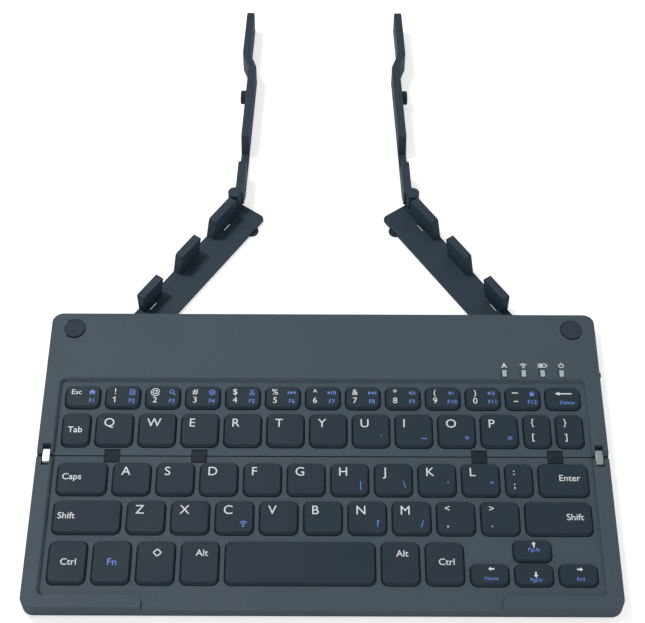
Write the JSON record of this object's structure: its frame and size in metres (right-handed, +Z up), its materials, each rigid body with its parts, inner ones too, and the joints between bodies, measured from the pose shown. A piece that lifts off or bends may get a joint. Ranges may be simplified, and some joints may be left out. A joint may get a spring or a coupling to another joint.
{
  "type": "folding keyboard",
  "caption": "Folding wireless keyboard in slate grey, with a double-axis hinge and slotted stand arms that swing out at the back to hold a tablet.",
  "frame": {"origin": "middle of the footprint in the rest pose (open flat, stand arms swung out), on the table under the rubber feet", "axes": "+X to the typist's right, +Y from the typist to the back, +Z up; row_axis names are the same"},
  "size_m": [0.2517, 0.3386, 0.0132],
  "materials": {
    "case_plastic": "fine matte grain",
    "key_plastic": "smooth satin",
    "stand_plastic": "fine matte grain",
    "steel": "satin",
    "rubber": "matte",
    "board_green": "solder mask",
    "sheet_steel": "stamped sheet",
    "clear_plastic": "clear, polished",
    "inner_plastic": "natural moulding",
    "battery_wrap": "foil wrap"
  },
  "bodies": {
    "back_half": {"upper_top_frame": "case_plastic", "upper_bottom_cover": "case_plastic", "upper_key_plate": "sheet_steel", "upper_membrane": "inner_plastic", "upper_domes": "inner_plastic", "upper_scissors": "inner_plastic", "circuit_board": "board_green", "battery": "battery_wrap", "light_windows": "clear_plastic", "indicator_lamps": "inner_plastic", "corner_pads": "rubber", "switch_body": "stand_plastic", "charge_socket": "steel", "upper_screws": "steel", "upper_feet": "rubber", "upper_hinge_pins": "steel", "left_arm_pin": "steel", "right_arm_pin": "steel"},
    "fold_links": {"hinge_end_links": "steel", "hinge_link_blocks": "stand_plastic"},
    "front_half": {"lower_top_frame": "case_plastic", "lower_bottom_cover": "case_plastic", "lower_key_plate": "sheet_steel", "lower_membrane": "inner_plastic", "lower_domes": "inner_plastic", "lower_scissors": "inner_plastic", "lower_screws": "steel", "lower_feet": "rubber", "lower_hinge_pins": "steel"},
    "power_switch": {"switch_slider": "stand_plastic"},
    "left_arm_set": {"left_arm": "stand_plastic", "left_arm_foot": "rubber", "left_leg_pin": "steel"},
    "left_leg_set": {"left_leg": "stand_plastic", "left_leg_button": "rubber"},
    "right_arm_set": {"right_arm": "stand_plastic", "right_arm_foot": "rubber", "right_leg_pin": "steel"},
    "right_leg_set": {"right_leg": "stand_plastic", "right_leg_button": "rubber"},
    "key_escape_set": {"key_escape": "key_plastic"},
    "number_keys_set": {"number_keys": "key_plastic"},
    "key_backspace_set": {"key_backspace": "key_plastic"},
    "key_tab_set": {"key_tab": "key_plastic"},
    "upper_letter_keys_set": {"upper_letter_keys": "key_plastic"},
    "key_caps_lock_set": {"key_caps_lock": "key_plastic"},
    "home_letter_keys_set": {"home_letter_keys": "key_plastic"},
    "key_enter_set": {"key_enter": "key_plastic"},
    "key_shift_left_set": {"key_shift_left": "key_plastic"},
    "lower_letter_keys_set": {"lower_letter_keys": "key_plastic"},
    "key_shift_right_set": {"key_shift_right": "key_plastic"},
    "key_control_left_set": {"key_control_left": "key_plastic"},
    "key_function_set": {"key_function": "key_plastic"},
    "modifier_keys_set": {"modifier_keys": "key_plastic"},
    "key_space_set": {"key_space": "key_plastic"},
    "key_left_set": {"key_left": "key_plastic"},
    "key_up_set": {"key_up": "key_plastic"},
    "key_down_set": {"key_down": "key_plastic"},
    "key_right_set": {"key_right": "key_plastic"}
  },
  "joints": [
    {"name": "fold_link_hinge", "type": "hinge", "parent": "back_half", "child": "fold_links", "pos_m": [0, -0.09404, 0.0064], "axis": [-1, 0, 0], "range_deg": [0, 90]},
    {"name": "fold_front_hinge", "type": "hinge", "parent": "fold_links", "child": "front_half", "pos_m": [0, -0.09904, 0.0064], "axis": [-1, 0, 0], "range_deg": [0, 90]},
    {"name": "left_arm_hinge", "type": "hinge", "parent": "back_half", "child": "left_arm_set", "pos_m": [-0.0855, -0.02354, 0.002], "axis": [0, 0, -1], "range_deg": [0, 55]},
    {"name": "left_leg_hinge", "type": "hinge", "parent": "left_arm_set", "child": "left_leg_set", "pos_m": [-0.04355, 0.04743, 0.006], "axis": [0, 0, 1], "range_deg": [0, 147.8]},
    {"name": "right_arm_hinge", "type": "hinge", "parent": "back_half", "child": "right_arm_set", "pos_m": [0.0855, -0.02354, 0.002], "axis": [0, 0, 1], "range_deg": [0, 55]},
    {"name": "right_leg_hinge", "type": "hinge", "parent": "right_arm_set", "child": "right_leg_set", "pos_m": [0.04355, 0.04743, 0.006], "axis": [0, 0, -1], "range_deg": [0, 147.8]},
    {"name": "power_switch_slide", "type": "slide", "parent": "back_half", "child": "power_switch", "axis": [0, 1, 0], "range_m": [0, 0.002]},
    {"name": "key_escape_travel", "type": "slide", "parent": "back_half", "child": "key_escape_set", "axis": [0, 0, -1], "range_m": [0, 0.0012], "stiffness_N_per_m": 500},
    {"name": "number_keys_travel", "type": "slide", "parent": "back_half", "child": "number_keys_set", "axis": [0, 0, -1], "range_m": [0, 0.0012], "stiffness_N_per_m": 5500},
    {"name": "key_backspace_travel", "type": "slide", "parent": "back_half", "child": "key_backspace_set", "axis": [0, 0, -1], "range_m": [0, 0.0012], "stiffness_N_per_m": 500},
    {"name": "key_tab_travel", "type": "slide", "parent": "back_half", "child": "key_tab_set", "axis": [0, 0, -1], "range_m": [0, 0.0012], "stiffness_N_per_m": 500},
    {"name": "upper_letter_keys_travel", "type": "slide", "parent": "back_half", "child": "upper_letter_keys_set", "axis": [0, 0, -1], "range_m": [0, 0.0012], "stiffness_N_per_m": 6000},
    {"name": "key_caps_lock_travel", "type": "slide", "parent": "front_half", "child": "key_caps_lock_set", "axis": [0, 0, -1], "range_m": [0, 0.0012], "stiffness_N_per_m": 500},
    {"name": "home_letter_keys_travel", "type": "slide", "parent": "front_half", "child": "home_letter_keys_set", "axis": [0, 0, -1], "range_m": [0, 0.0012], "stiffness_N_per_m": 5000},
    {"name": "key_enter_travel", "type": "slide", "parent": "front_half", "child": "key_enter_set", "axis": [0, 0, -1], "range_m": [0, 0.0012], "stiffness_N_per_m": 500},
    {"name": "key_shift_left_travel", "type": "slide", "parent": "front_half", "child": "key_shift_left_set", "axis": [0, 0, -1], "range_m": [0, 0.0012], "stiffness_N_per_m": 500},
    {"name": "lower_letter_keys_travel", "type": "slide", "parent": "front_half", "child": "lower_letter_keys_set", "axis": [0, 0, -1], "range_m": [0, 0.0012], "stiffness_N_per_m": 4500},
    {"name": "key_shift_right_travel", "type": "slide", "parent": "front_half", "child": "key_shift_right_set", "axis": [0, 0, -1], "range_m": [0, 0.0012], "stiffness_N_per_m": 500},
    {"name": "key_control_left_travel", "type": "slide", "parent": "front_half", "child": "key_control_left_set", "axis": [0, 0, -1], "range_m": [0, 0.0012], "stiffness_N_per_m": 500},
    {"name": "key_function_travel", "type": "slide", "parent": "front_half", "child": "key_function_set", "axis": [0, 0, -1], "range_m": [0, 0.0012], "stiffness_N_per_m": 500},
    {"name": "modifier_keys_travel", "type": "slide", "parent": "front_half", "child": "modifier_keys_set", "axis": [0, 0, -1], "range_m": [0, 0.0012], "stiffness_N_per_m": 2000},
    {"name": "key_space_travel", "type": "slide", "parent": "front_half", "child": "key_space_set", "axis": [0, 0, -1], "range_m": [0, 0.0012], "stiffness_N_per_m": 500},
    {"name": "key_left_travel", "type": "slide", "parent": "front_half", "child": "key_left_set", "axis": [0, 0, -1], "range_m": [0, 0.0012], "stiffness_N_per_m": 500},
    {"name": "key_up_travel", "type": "slide", "parent": "front_half", "child": "key_up_set", "axis": [0, 0, -1], "range_m": [0, 0.0012], "stiffness_N_per_m": 500},
    {"name": "key_down_travel", "type": "slide", "parent": "front_half", "child": "key_down_set", "axis": [0, 0, -1], "range_m": [0, 0.0012], "stiffness_N_per_m": 500},
    {"name": "key_right_travel", "type": "slide", "parent": "front_half", "child": "key_right_set", "axis": [0, 0, -1], "range_m": [0, 0.0012], "stiffness_N_per_m": 500}
  ],
  "couplings": [
    {"joint": "left_leg_hinge", "follows": "left_arm_hinge", "ratio": 2.687},
    {"joint": "right_leg_hinge", "follows": "right_arm_hinge", "ratio": 2.687}
  ]
}
